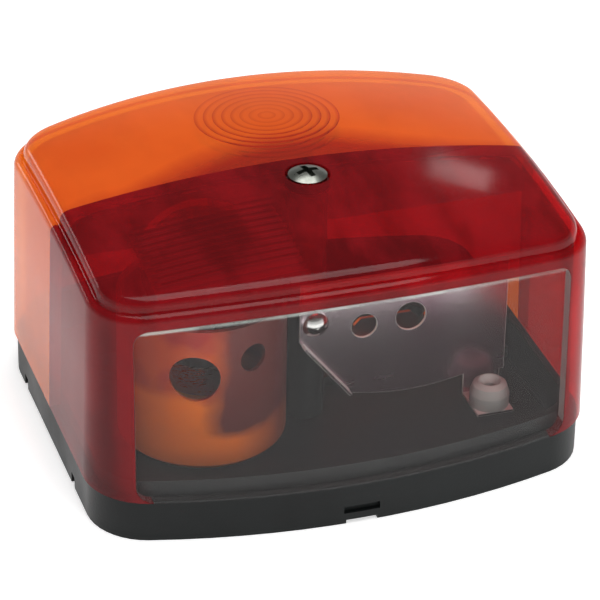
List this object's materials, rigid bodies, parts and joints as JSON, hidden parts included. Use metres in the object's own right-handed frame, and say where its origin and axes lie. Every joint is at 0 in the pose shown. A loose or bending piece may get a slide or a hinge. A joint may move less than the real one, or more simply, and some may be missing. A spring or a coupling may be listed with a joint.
{
  "type": "rear combination lamp",
  "caption": "Box-shaped trailer tail light with a domed red and amber lens over a black base, a clear number-plate window and bayonet bulbs inside.",
  "frame": {"origin": "centre of the overall box in X and Y, on the mounting face", "axes": "+Z out of the mounting face through the lens; -Y towards the clear number-plate window; +Y towards the amber half; +X to the right when the window faces the viewer and the lens is up"},
  "size_m": [0.106, 0.0936, 0.0602],
  "materials": {
    "base_plastic": "fine-grained moulded black",
    "seal_rubber": "soft black",
    "amber_plastic": "polished translucent amber",
    "red_plastic": "polished translucent red",
    "clear_plastic": "polished clear",
    "plated_screw": "bright zinc",
    "bulb_glass": "clear blown glass",
    "cap_metal": "nickelled brass",
    "filament_metal": "grey wire on a glass stem",
    "yellow_zinc": "yellow-passivated zinc",
    "disc_board": "laminated board",
    "brass_studs": "plain",
    "tinned_plate": "bright tinplate",
    "bright_rivet": "polished",
    "pale_eyelet": "pale moulded"
  },
  "bodies": {
    "root": {"base_tray": "base_plastic", "lens_seal": "seal_rubber", "amber_lens": "amber_plastic", "red_lens": "red_plastic", "plate_window": "clear_plastic", "lens_screw": "plated_screw", "screw_washer": "seal_rubber", "indicator_bulb_glass": "bulb_glass", "indicator_bulb_cap": "cap_metal", "indicator_filament": "filament_metal", "indicator_socket": "yellow_zinc", "indicator_contact_disc": "disc_board", "stop_tail_bulb_glass": "bulb_glass", "stop_tail_bulb_cap": "cap_metal", "stop_tail_filaments": "filament_metal", "stop_tail_socket": "yellow_zinc", "stop_tail_contact_disc": "disc_board", "contact_studs": "brass_studs", "stop_tail_reflector": "yellow_zinc", "glare_plate": "tinned_plate", "plate_rivet": "bright_rivet", "plate_eyelet": "pale_eyelet", "earth_strip": "yellow_zinc", "supply_terminals": "tinned_plate", "terminal_rivets": "bright_rivet", "cable_grommet": "seal_rubber"}
  },
  "joints": []
}
